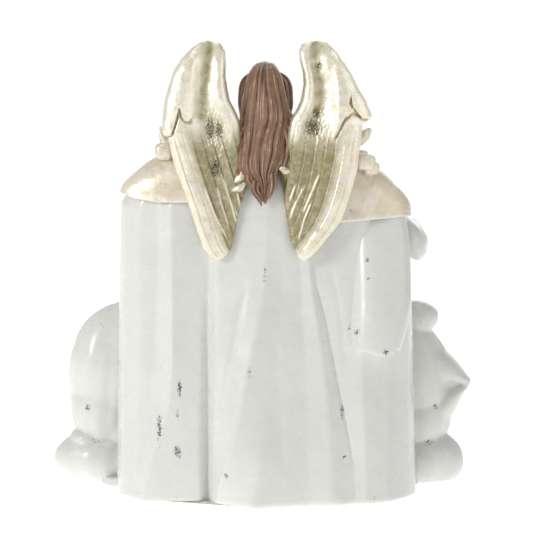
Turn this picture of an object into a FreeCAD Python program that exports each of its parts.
"""Resin angel statuette, as a bench would take it apart.

An angel in a wide pleated gown stands with its elbows spread and shelters a kneeling couple
and a child. The gown is a hollow casting that a plate closes from below. The wings, head,
hair, shoulder capes, sleeves, hands and the small figures are castings of their own, glued
face to face, with steel dowels in the heavy ones. Nothing moves.

Frame: +Z up, the angel faces -Y, the origin is on the felt under the middle of the group.
All lengths are in millimetres.
"""

import os
import re

import FreeCAD
import Part

# Driving dimensions: alias, value, meaning.
SIZES = [
    ("felt_thickness", 1.5, "felt sheet under the group"),
    ("felt_width", 176, "felt sheet, left to right"),
    ("felt_depth", 102, "felt sheet, front to back"),
    ("resin_wall", 8, "wall of the hollow gown casting"),
    ("plate_thickness", 3, "plate that closes the gown from below"),
    ("slab_width", 220, "ground slab under the couple"),
    ("slab_depth", 104, "ground slab, as a whole ellipse, front to back"),
    ("slab_height", 6, "ground slab"),
    ("slab_y", -14, "centre of the ground slab"),
    ("angel_x", -3, "angel's middle plane"),
    ("spine_y", 22, "middle plane of the gown's back, at the elbows"),
    ("hem_shift", 7, "how much further back that plane is at the hem"),
    ("cloak_width", 190, "gown's back, elbow to elbow"),
    ("hem_flare", 7, "what the hem adds to each side"),
    ("cloak_bulge", 31, "half the depth of the gown's back at the hem"),
    ("elbow_height", 200, "height of the spread elbows"),
    ("shoulder_bulge", 22, "half the depth of the gown's back at the elbows"),
    ("shoulder_rise", 39, "neckline above the elbows"),
    ("skirt_width", 92, "front of the gown at the hem"),
    ("skirt_depth", 56, "front of the gown at the hem"),
    ("skirt_forward", 20, "how far the centre of the gown's front is before the back's"),
    ("waist_width", 46, "gown at the waist"),
    ("waist_depth", 33, "gown at the waist"),
    ("waist_drop", 34, "waist below the elbows"),
    ("fold_radius", 9, "pleats of the gown at the hem"),
    ("crown_rise", 91, "top of the angel's hair above the elbows"),
    ("head_width", 23, "angel's head without hair"),
    ("head_depth", 27, "angel's head without hair"),
    ("head_height", 34, "angel's head, chin to crown"),
    ("head_forward", 5, "how far the head is before the gown's back plane"),
    ("neck_width", 12, "angel's neck"),
    ("hair_thickness", 4, "hair over the skull"),
    ("hair_fall", 88, "hair from its crown to the tip on the back"),
    ("hair_width", 36, "hair at its widest, over the shoulder blades"),
    ("hair_depth", 17, "hair on the back, front to back"),
    ("cape_thickness", 2.5, "shoulder capes"),
    ("cape_gap", 14, "half the opening between the capes"),
    ("left_cape_lift", 1, "left cape's hem above the elbows"),
    ("right_cape_drop", 11, "right cape's hem below the elbows"),
    ("wing_length", 142, "wing, lowest feather tip to top"),
    ("wing_width", 48, "wing at its widest"),
    ("wing_thickness", 16, "wing at its leading edge"),
    ("wing_drop", 37, "lowest feather tip below the elbows"),
    ("wing_spread", 42, "wing's middle line from the angel's middle plane"),
    ("wing_lean", 14, "how much further back the lowest tip is than the top"),
    ("dowel_radius", 1.5, "steel dowels in the wings and the neck"),
    ("wing_dowel_length", 13, "dowel between a wing and the gown"),
    ("wing_dowel_drop", 11, "lower dowel of each wing below the elbows"),
    ("wing_dowel_sunk", 2.4, "middle of a wing dowel inside the gown's back"),
    ("wing_dowel_pitch", 14, "second dowel above the first"),
    ("neck_dowel_length", 24, "dowel between the head and the gown"),
    ("sleeve_width", 44, "hanging sleeve"),
    ("sleeve_depth", 28, "hanging sleeve"),
    ("sleeve_length", 96, "hanging sleeve from the elbow down"),
    ("sleeve_offset", 75, "hanging sleeve from the angel's middle plane"),
    ("forearm_radius", 11, "sleeved forearm"),
    ("forearm_length", 50, "sleeved forearm, front to back"),
    ("forearm_reach", 24, "middle of the forearm before the gown's back plane"),
    ("hand_length", 17, "angel's hands"),
    ("hand_width", 8, "angel's hands"),
    ("hand_thickness", 5, "angel's hands"),
    ("couple_x", 93, "each kneeling figure from the middle"),
    ("couple_y", -31, "kneeling figures, front to back"),
    ("robe_width", 68, "kneeling robe at its widest"),
    ("robe_depth", 50, "kneeling robe, front to back"),
    ("robe_height", 134, "kneeling robe, to the collar"),
    ("small_head_width", 19, "heads of the couple"),
    ("small_head_depth", 21, "heads of the couple"),
    ("small_head_height", 26, "heads of the couple"),
    ("cloth_thickness", 3, "veil and hair over the small heads"),
    ("prayer_drop", 30, "folded hands below the couple's collars"),
    ("manger_length", 44, "manger, left to right"),
    ("manger_width", 25, "manger, front to back"),
    ("manger_height", 17, "manger above the slab"),
    ("manger_wall", 3, "manger boards"),
    ("manger_y", -49, "centre of the manger"),
    ("child_length", 26, "swaddled child without its head"),
    ("child_width", 12, "swaddled child"),
    ("child_head_radius", 5.5, "child's head"),
]

doc = FreeCAD.newDocument("angel_statuette")
sheet = doc.addObject("Spreadsheet::Sheet", "Sizes")
for row, (alias, value, meaning) in enumerate(SIZES, start=1):
    sheet.set(f"A{row}", alias)
    sheet.set(f"B{row}", str(value))
    sheet.set(f"C{row}", meaning)
    sheet.setAlias(f"B{row}", alias)
doc.recompute()

ALIASES = re.compile(r"\b(" + "|".join(alias for alias, _, _ in SIZES) + r")\b")
LEVEL_BOTTOM = "felt_thickness"
SKIRT_Y = "(spine_y - skirt_forward)"
HEAD_Y = "(spine_y - head_forward)"
FOREARM_Y = "(spine_y - forearm_reach)"
CROWN_Z = "(elbow_height + crown_rise)"
BELOW = "(felt_thickness - 4)"  # forms start here and are trimmed level with the felt
SPAN = 400  # larger than the statuette, for the boxes that only trim
nodes = []


def bind(obj, prop, text):
    """Ties a property to the sheet; text is a formula in the sheet's aliases."""
    obj.setExpression(prop, ALIASES.sub(r"Sizes.\1", str(text)))


def place(obj, x, y, z):
    """Ties an object's position to the sheet."""
    for axis, text in zip("xyz", (x, y, z)):
        bind(obj, f"Placement.Base.{axis}", text)


def ellipsoid(name, centre, halves):
    """A whole ellipsoid from its centre and its half sizes along X, Y and Z."""
    obj = doc.addObject("Part::Ellipsoid", name)
    bind(obj, "Radius2", halves[0])
    bind(obj, "Radius3", halves[1])
    bind(obj, "Radius1", halves[2])
    place(obj, *centre)
    return obj


def box(name, corner, size):
    """A box from its lowest corner and its size."""
    obj = doc.addObject("Part::Box", name)
    for prop, text in zip(("Length", "Width", "Height"), size):
        bind(obj, prop, text)
    place(obj, *corner)
    return obj


def rod(name, radius, length, centre, along):
    """A cylinder about its centre, along "y" or "z"."""
    obj = doc.addObject("Part::Cylinder", name)
    bind(obj, "Radius", radius)
    bind(obj, "Height", length)
    turns = {
        "y": FreeCAD.Rotation(FreeCAD.Vector(1, 0, 0), -90),
        "z": FreeCAD.Rotation(),
    }
    obj.Placement = FreeCAD.Placement(FreeCAD.Vector(), turns[along])
    start = list(centre)
    index = "xyz".index(along)
    start[index] = f"{centre[index]} - ({length}) / 2"
    place(obj, *start)
    return obj


def loft(name, stations, ruled=False):
    """A closed solid through level ellipses: (x, y, z, half_x, half_y), half_x the longer."""
    rings = []
    for number, (x, y, z, half_x, half_y) in enumerate(stations, start=1):
        ring = doc.addObject("Part::Ellipse", f"{name}_ring_{number}")
        bind(ring, "MajorRadius", half_x)
        bind(ring, "MinorRadius", half_y)
        place(ring, x, y, z)
        rings.append(ring)
    obj = doc.addObject("Part::Loft", name)
    obj.Sections = rings
    obj.Solid = True
    obj.Ruled = ruled
    return obj


def fuse(name, parts):
    """One solid from several."""
    obj = doc.addObject("Part::MultiFuse", name)
    obj.Shapes = parts
    return obj


def cut(name, base, *tools):
    """Base without the tools, one after the other; the last cut has the name."""
    for number, tool in enumerate(tools, start=1):
        last = number == len(tools)
        obj = doc.addObject("Part::Cut", name if last else f"{name}_cut_{number}")
        obj.Base = base
        obj.Tool = tool
        base = obj
    return base


def common(name, first, second):
    """What two solids share."""
    obj = doc.addObject("Part::MultiCommon", name)
    obj.Shapes = [first, second]
    return obj


def group(name, parts):
    """Separate identical solids that share one node."""
    obj = doc.addObject("Part::Compound", name)
    obj.Links = parts
    return obj


def node(obj, name):
    """Marks an object as a sub-part, and names its file."""
    obj.Label = name
    nodes.append(obj)
    return obj


# ---------------------------------------------------------------- gown casting
HEM_Y = "(spine_y + hem_shift)"


def back_of(side, middle, depth):
    """Y of the gown's back where it is side times its half width from the middle."""
    return f"{middle} + ({depth}) * sqrt(1 - ({side}) ^ 2)"


def pleat(name, low_side, top_side, radius, sunk):
    """A round pleat up the gown's back; it fades into the cloth near the elbows.

    Sides are shares of the gown's half width, sunk is the share of the radius inside it.
    """
    low = (
        f"angel_x + {low_side} * cloak_width / 2",
        f"{back_of(low_side, HEM_Y, 'cloak_bulge')} - {sunk} * {radius}",
        BELOW,
        radius,
        radius,
    )
    top = (
        f"angel_x + {top_side} * cloak_width / 2",
        f"{back_of(top_side, 'spine_y', 'shoulder_bulge')} - {radius}",
        "elbow_height - 4",
        f"{radius} * 0.5",
        f"{radius} * 0.5",
    )
    return loft(name, [low, top], ruled=True)


def wide_back(name, inset, bottom, top):
    """The gown's wide back, elbow to elbow, or its hollow when inset is the wall."""
    middle = "(spine_y + hem_shift * 0.5)"
    half = f"cloak_width / 2 - {inset}"
    return loft(
        name,
        [
            ("angel_x", HEM_Y, bottom, f"{half} + hem_flare", f"cloak_bulge - {inset}"),
            (
                "angel_x",
                middle,
                "elbow_height * 0.6",
                half,
                f"(cloak_bulge + shoulder_bulge) / 2 - {inset}",
            ),
            ("angel_x", "spine_y", top, f"{half} * 1.01", f"shoulder_bulge - {inset}"),
        ],
        ruled=True,
    )


def build_gown_solids():
    """The gown's back as plain solids, its shoulders last."""
    back = wide_back("cloak_back", "0", BELOW, "elbow_height")
    shoulders = ellipsoid(
        "shoulders",
        ("angel_x", "spine_y", "elbow_height - 1"),
        ("cloak_width / 2 - 3", "shoulder_bulge - 2", "shoulder_rise"),
    )
    return [back, shoulders]


def build_gown(solids, *tools):
    """The gown casting: its solids and pleats, each hollowed, then joined."""
    pleats = [
        pleat("pleat_left", 0.7, 0.62, "fold_radius", 0.1),
        pleat("pleat_middle", 0.27, 0.02, "fold_radius", 0.1),
        pleat("pleat_slanted", -0.55, -0.3, "fold_radius", 0.1),
    ]
    pieces = [cut(f"{solid.Name}_hollowed", solid, *tools) for solid in solids + pleats]
    return node(fuse("gown_body", pieces), "gown_body")


def build_gown_front(below, *keep_clear):
    """The front of the gown, a casting of its own that closes against the back."""
    front = loft(
        "skirt",
        [
            ("angel_x", SKIRT_Y, BELOW, "skirt_width / 2", "skirt_depth / 2"),
            (
                "angel_x",
                SKIRT_Y + " + 6",
                "elbow_height - waist_drop",
                "waist_width / 2",
                "waist_depth / 2",
            ),
            (
                "angel_x",
                SKIRT_Y + " + 12",
                "elbow_height + shoulder_rise - 9",
                "waist_width * 0.36",
                "waist_depth * 0.38",
            ),
        ],
    )
    return node(cut("gown_front", front, *keep_clear, below), "gown_front")


def build_base(hollow, below, *keep_clear):
    """Closing plate, felt sheet and the ground slab that the couple kneels on."""
    level = box(
        "plate_level",
        (f"-{SPAN} / 2", f"-{SPAN} / 2", LEVEL_BOTTOM),
        (SPAN, SPAN, "plate_thickness"),
    )
    node(common("bottom_plate", hollow, level), "bottom_plate")
    felt = loft(
        "felt_sheet",
        [(0, 0, z, "felt_width / 2", "felt_depth / 2") for z in (0, "felt_thickness")],
        ruled=True,
    )
    node(felt, "felt_sheet")
    slab = loft(
        "slab_raw",
        [
            (0, "slab_y", BELOW + " - 4", "slab_width / 2", "slab_depth / 2"),
            (
                0,
                "slab_y",
                "felt_thickness + slab_height",
                "slab_width / 2 - 3",
                "slab_depth / 2 - 3",
            ),
        ],
        ruled=True,
    )
    node(cut("ground_slab", slab, *keep_clear, below), "ground_slab")


# ---------------------------------------------------------------- head and hair
HEAD_Z = f"({CROWN_Z} - hair_thickness - head_height / 2)"


def build_head(*keep_clear):
    """Head and neck as one casting, its neck seated on the gown."""
    skull = ellipsoid(
        "skull",
        ("angel_x", HEAD_Y, HEAD_Z),
        ("head_width / 2", "head_depth / 2", "head_height / 2"),
    )
    neck = loft(
        "neck",
        [
            (
                "angel_x",
                HEAD_Y + " + 2",
                "elbow_height + shoulder_rise - 10",
                "neck_width * 0.62",
                "neck_width * 0.55",
            ),
            ("angel_x", HEAD_Y + " + 1", HEAD_Z, "neck_width / 2", "neck_width / 2"),
        ],
        ruled=True,
    )
    return cut("head_raw", fuse("head_and_neck", [skull, neck]), *keep_clear)


HAIR_STATIONS = [
    # share of the fall below the crown, way back from the skull, half width, half depth
    (0.1, 0.0, 0.28, 0.26),
    (0.3, 0.06, 0.42, 0.4),
    (0.5, 0.18, 0.46, 0.5),
    (0.7, 0.59, 0.5, 0.4),
    (0.85, 0.88, 0.38, 0.3),
    (1.0, 0.94, 0.08, 0.08),
]


def build_hair(*keep_clear):
    """Long hair: a cap over the skull and a fall down the back to a point."""
    cap = ellipsoid(
        "hair_cap",
        ("angel_x", HEAD_Y + " + hair_thickness", CROWN_Z + " - head_height * 0.6"),
        (
            "head_width / 2 + hair_thickness * 0.6",
            "head_depth / 2 + hair_thickness * 0.4",
            "head_height * 0.6",
        ),
    )
    stations = []
    for down, back, half_width, half_depth in HAIR_STATIONS:
        stations.append(
            (
                "angel_x",
                f"{HEAD_Y} + head_depth / 2 + {back} * hair_depth",
                f"{CROWN_Z} - {down} * hair_fall",
                f"{half_width} * hair_width",
                f"{half_depth} * hair_depth",
            )
        )
    fall = loft("hair_back", stations)
    face = box(
        "face_opening",
        (f"-{SPAN} / 2", f"{HEAD_Y} - 3 - {SPAN}", f"{HEAD_Z} - {SPAN}"),
        (SPAN, SPAN, SPAN),
    )
    hair = fuse("hair_raw", [cap, fall])
    return node(cut("angel_hair", hair, face, *keep_clear), "angel_hair")


# ---------------------------------------------------------------- capes and wings
def build_cape(name, side, hem, *keep_clear):
    """A thin cape over one spread upper arm; side is 1 or -1."""
    outer = ellipsoid(
        f"{name}_outer",
        ("angel_x", "spine_y", "elbow_height"),
        (
            "cloak_width / 2 + cape_thickness",
            "shoulder_bulge + cape_thickness",
            "shoulder_rise + cape_thickness",
        ),
    )
    inner = "angel_x + cape_gap" if side > 0 else f"angel_x - cape_gap - {SPAN}"
    kept = box(
        f"{name}_kept",
        (inner, f"-{SPAN} / 2", hem),
        (SPAN, SPAN, SPAN),
    )
    shell = common(f"{name}_shell", outer, kept)
    return node(cut(name, shell, *keep_clear), name)


WING_STATIONS = [
    # share of the length from the lowest tip, shift outwards, half width, half thickness
    (0.0, -0.2, 0.05, 0.14),
    (0.06, -0.17, 0.19, 0.25),
    (0.22, -0.1, 0.33, 0.34),
    (0.42, 0.0, 0.46, 0.38),
    (0.6, 0.03, 0.52, 0.42),
    (0.74, 0.02, 0.47, 0.46),
    (0.86, -0.03, 0.37, 0.46),
    (0.95, -0.08, 0.24, 0.38),
    (1.0, -0.1, 0.07, 0.1),
]


def build_wing(name, side, *keep_clear):
    """A wing as a thick blade of level sections, seated on the cape and the gown."""
    stations = []
    for along, outwards, half_width, half_thickness in WING_STATIONS:
        x = f"angel_x + {side} * (wing_spread + {outwards} * wing_width)"
        y = f"spine_y + shoulder_bulge + 1.4 + wing_lean * (0.2 - {along})"
        z = f"elbow_height - wing_drop + {along} * wing_length"
        stations.append(
            (x, y, z, f"{half_width} * wing_width", f"{half_thickness} * wing_thickness")
        )
    return node(cut(name, loft(f"{name}_blade", stations), *keep_clear), name)


def build_wing_dowels():
    """Two steel dowels for each wing, half in the wing and half in the gown."""
    seat = "1.6 * wing_spread / cloak_width"
    dowels = []
    for side in (1, -1):
        for level in (0, 1):
            dowels.append(
                rod(
                    f"wing_dowel_{len(dowels) + 1}",
                    "dowel_radius",
                    "wing_dowel_length",
                    (
                        f"angel_x + {side} * wing_spread * 0.8",
                        f"{back_of(seat, 'spine_y', 'shoulder_bulge')} - wing_dowel_sunk",
                        f"elbow_height - wing_dowel_drop + {level} * wing_dowel_pitch",
                    ),
                    "y",
                )
            )
    return group("wing_dowels", dowels)


# ---------------------------------------------------------------- sleeves and hands
SLEEVE_STATIONS = [
    # share of the length below the elbow, way back as a share of the bulge, width, depth
    (1.0, 1.045, 0.22, 0.2),
    (0.875, 0.91, 0.42, 0.4),
    (0.54, 0.636, 0.52, 0.54),
    (0.083, 0.455, 0.47, 0.48),
]


def build_right_sleeve(*keep_clear):
    """The right sleeve hangs from the elbow down the gown's back."""
    stations = []
    for down, back, width, depth in SLEEVE_STATIONS:
        y = f"spine_y + {back} * shoulder_bulge"
        z = f"elbow_height - {down} * sleeve_length"
        stations.append(
            (
                "angel_x - sleeve_offset",
                y,
                z,
                f"{width} * sleeve_width",
                f"{depth} * sleeve_depth",
            )
        )
    hang = loft("sleeve_right_hang", stations)
    return node(cut("sleeve_right", hang, *keep_clear), "sleeve_right")


FOREARMS = [
    # side, sign of X, middle outside the gown's edge, drop below the elbow
    ("right", -1, 2, 27),
    ("left", 1, -14, 24),
]


def build_cuff(name, x, z, *keep_clear):
    """The sleeve around one forearm, which points forward from the elbow."""
    forearm = ellipsoid(
        f"{name}_forearm",
        (x, FOREARM_Y, z),
        ("forearm_radius", "forearm_length / 2", "forearm_radius * 1.4"),
    )
    return node(cut(name, forearm, *keep_clear), name)


def build_hand(name, x, y, z, *keep_clear):
    """An open hand as a flat ellipsoid that points forward."""
    palm = ellipsoid(
        f"{name}_palm", (x, y, z), ("hand_width / 2", "hand_length / 2", "hand_thickness / 2")
    )
    return node(cut(name, palm, *keep_clear), name)


# ---------------------------------------------------------------- kneeling couple
ROBE_STATIONS = {
    # share of the robe's height, shift outwards, half width, half depth
    "woman": [
        (-0.03, 0.04, 0.46, 0.44),
        (0.12, 0.11, 0.52, 0.5),
        (0.24, 0.07, 0.46, 0.48),
        (0.32, 0.02, 0.39, 0.46),
        (0.54, 0.0, 0.48, 0.48),
        (0.75, -0.06, 0.43, 0.42),
        (0.92, -0.18, 0.29, 0.32),
        (1.0, -0.26, 0.15, 0.145),
    ],
    "man": [
        (-0.03, 0.0, 0.47, 0.44),
        (0.1, 0.04, 0.51, 0.5),
        (0.3, 0.02, 0.42, 0.46),
        (0.52, 0.05, 0.44, 0.46),
        (0.72, -0.02, 0.45, 0.44),
        (0.86, -0.05, 0.4, 0.38),
        (0.94, -0.13, 0.28, 0.28),
        (1.0, -0.25, 0.15, 0.145),
    ],
}
COLLAR_SHIFT = "robe_width * 0.3"
SMALL_HEAD_Z = "(robe_height + small_head_height * 0.36)"


def build_robe_outside(name, side, extra):
    """A kneeling robe from level sections, with its knees towards the manger."""
    stations = []
    for up, outwards, half_width, half_depth in ROBE_STATIONS[name]:
        x = f"{side} * (couple_x + {outwards} * robe_width)"
        z = f"{up} * robe_height"
        stations.append(
            (x, "couple_y", z, f"{half_width} * robe_width", f"{half_depth} * robe_depth")
        )
    body = loft(f"{name}_body", stations)
    knees = ellipsoid(
        f"{name}_knees",
        (f"{side} * (couple_x - robe_width * 0.4)", "couple_y - 3", "robe_height * 0.15"),
        ("robe_width * 0.36", "robe_depth * 0.42", "robe_height * 0.2"),
    )
    return fuse(f"{name}_outside", [body, knees] + extra)


def build_cloak_corner():
    """The man's cloak spreads outwards in a pointed fold."""
    obj = doc.addObject("Part::Cone", "man_cloak_corner")
    bind(obj, "Radius1", "robe_depth * 0.36")
    bind(obj, "Radius2", "robe_depth * 0.03")
    bind(obj, "Height", "robe_width * 0.54")
    turn = FreeCAD.Rotation(FreeCAD.Vector(0, 1, 0), -97)
    obj.Placement = FreeCAD.Placement(FreeCAD.Vector(), turn)
    place(obj, "-(couple_x + robe_width * 0.1)", "couple_y + 3", "robe_height * 0.56")
    return obj


def build_small_head(name, side, robe):
    """Head and neck of one of the couple, seated on the robe's collar."""
    x = f"{side} * (couple_x - {COLLAR_SHIFT})"
    skull = ellipsoid(
        f"{name}_skull",
        (x, "couple_y - 6", SMALL_HEAD_Z),
        ("small_head_width / 2", "small_head_depth / 2", "small_head_height / 2"),
    )
    return node(cut(f"{name}_head", skull, robe), f"{name}_head")


def build_head_cover(name, label, side, drop, *keep_clear):
    """Veil or hair: a shell over the back of a small head; drop lowers it to the shoulders."""
    x = f"{side} * (couple_x - {COLLAR_SHIFT} + cloth_thickness * 0.6)"
    cover = ellipsoid(
        f"{label}_raw",
        (x, "couple_y - 6 + cloth_thickness", f"{SMALL_HEAD_Z} + cloth_thickness * 0.5 - {drop}"),
        (
            "small_head_width / 2 + cloth_thickness",
            "small_head_depth / 2 + cloth_thickness * 0.6",
            f"small_head_height / 2 + cloth_thickness * 0.8 + {drop}",
        ),
    )
    return node(cut(label, cover, *keep_clear), label)


def build_prayer_hands(name, side, *keep_clear):
    """Folded hands that rise from the robe's front."""
    x = f"{side} * (couple_x - robe_width * 0.43)"
    y = "couple_y - robe_depth * 0.24"
    shares = [(-0.5, 0.42, 0.6), (0.1, 0.5, 0.76), (0.5, 0.2, 0.3)]
    stations = [
        (
            x,
            y,
            f"robe_height - prayer_drop + hand_length * {level}",
            f"hand_width * {wide}",
            f"hand_thickness * {deep}",
        )
        for level, wide, deep in shares
    ]
    palms = loft(f"{name}_palms", stations)
    return node(cut(f"{name}_hands", palms, *keep_clear), f"{name}_hands")


# ---------------------------------------------------------------- manger and child
FLOOR = "(felt_thickness + slab_height)"


def build_manger():
    """A flared trough of boards on the slab."""
    def block(name, spread, low, high, wall):
        """A flared block; spread is what its top adds to each side, wall what is taken off."""
        wires = []
        for number, (z, grow) in enumerate(((low, 0), (high, spread)), start=1):
            plane = doc.addObject("Part::Plane", f"{name}_level_{number}")
            half_x = f"(manger_length * 0.4 - {wall} + {grow})"
            half_y = f"(manger_width * 0.36 - {wall} + {grow})"
            bind(plane, "Length", f"2 * {half_x}")
            bind(plane, "Width", f"2 * {half_y}")
            place(plane, f"angel_x - {half_x}", f"manger_y - {half_y}", z)
            wires.append(plane)
        obj = doc.addObject("Part::Loft", name)
        obj.Sections = wires
        obj.Solid = True
        obj.Ruled = True
        return obj

    top = f"{FLOOR} + manger_height"
    spread = "manger_length * 0.08"
    outside = block("manger_outside", spread, FLOOR, top, "0")
    inside = block(
        "manger_inside", spread, f"{FLOOR} + manger_height * 0.45", top, "manger_wall"
    )
    return node(cut("manger", outside, inside), "manger")


def build_child(manger):
    """Straw, swaddled child and its head, one resting on the other."""
    top = f"{FLOOR} + manger_height"
    straw = ellipsoid(
        "straw_raw",
        ("angel_x", "manger_y", f"{FLOOR} + manger_height * 0.85"),
        ("manger_length * 0.44", "manger_width * 0.4", "manger_height * 0.38"),
    )
    straw = node(cut("straw_bed", straw, manger), "straw_bed")
    body = ellipsoid(
        "child_raw",
        ("angel_x + child_length * 0.12", "manger_y", f"{top} + child_width * 0.3"),
        ("child_length / 2", "child_width / 2", "child_width * 0.42"),
    )
    body = node(cut("child_body", body, straw, manger), "child_body")
    head = ellipsoid(
        "child_head_raw",
        ("angel_x - child_length * 0.44", "manger_y", f"{top} + child_width * 0.5"),
        ("child_head_radius", "child_head_radius", "child_head_radius"),
    )
    node(cut("child_head", head, body, straw, manger), "child_head")


# ---------------------------------------------------------------- assembly
def build():
    """Builds every sub-part in the order in which one seats on another."""
    below = box(
        "under_the_group",
        (f"-{SPAN} / 2", f"-{SPAN} / 2", f"felt_thickness - {SPAN}"),
        (SPAN, SPAN, SPAN),
    )
    gown = build_gown_solids()
    hollow = wide_back("hollow", "resin_wall", BELOW + " - 2", "elbow_height - resin_wall")
    couple = {
        "woman": build_robe_outside("woman", 1, []),
        "man": build_robe_outside("man", -1, [build_cloak_corner()]),
    }
    front = build_gown_front(below, *gown)
    build_base(hollow, below, *gown, front, *couple.values())
    head_raw = build_head(*gown)
    dowels = node(build_wing_dowels(), "wing_dowels")
    capes = [
        build_cape("cape_left", 1, "elbow_height + left_cape_lift", *gown, front, dowels),
        build_cape("cape_right", -1, "elbow_height - right_cape_drop", *gown, front, dowels),
    ]
    neck_dowel = rod(
        "neck_dowel",
        "dowel_radius",
        "neck_dowel_length",
        ("angel_x", HEAD_Y + " + 1", "elbow_height + shoulder_rise"),
        "z",
    )
    node(neck_dowel, "neck_dowel")
    build_gown(gown, below, hollow, dowels, neck_dowel)
    node(cut("angel_head", head_raw, neck_dowel), "angel_head")
    wings = [
        build_wing("wing_left", 1, *gown, *capes, dowels),
        build_wing("wing_right", -1, *gown, *capes, dowels),
    ]
    build_hair(head_raw, *gown, front, *capes, *wings)
    sleeve = build_right_sleeve(*gown, *capes, wings[1])
    for name, side, edge, drop in FOREARMS:
        x = f"angel_x + {side} * (cloak_width / 2 + {edge})"
        cuff = build_cuff(f"cuff_{name}", x, f"elbow_height - {drop}", *gown, *capes, sleeve)
        tip = f"{FOREARM_Y} - forearm_length * 0.52"
        build_hand(f"hand_{name}", x, tip, f"elbow_height - {drop} - 3", cuff)
    build_child(build_manger())
    for name, side in (("woman", 1), ("man", -1)):
        robe = node(cut(f"{name}_robe", couple[name], below, *gown), f"{name}_robe")
        small_head = build_small_head(name, side, robe)
        cover, drop = ("woman_veil", 6) if name == "woman" else ("man_hair", 1)
        build_head_cover(name, cover, side, drop, small_head, robe)
        build_prayer_hands(name, side, robe)


build()
doc.recompute()

# ---------------------------------------------------------------- check and export
for obj in doc.Objects:
    if "Invalid" in obj.State or "Error" in obj.State:
        raise RuntimeError(f"{obj.Label} failed: {obj.State}")
os.makedirs("parts", exist_ok=True)
for obj in nodes:
    shape = obj.Shape
    if shape.isNull() or not shape.isValid() or not shape.Solids:
        raise RuntimeError(f"{obj.Label} has no valid solid")
    shape.exportStep(os.path.join("parts", f"{obj.Label}.step"))
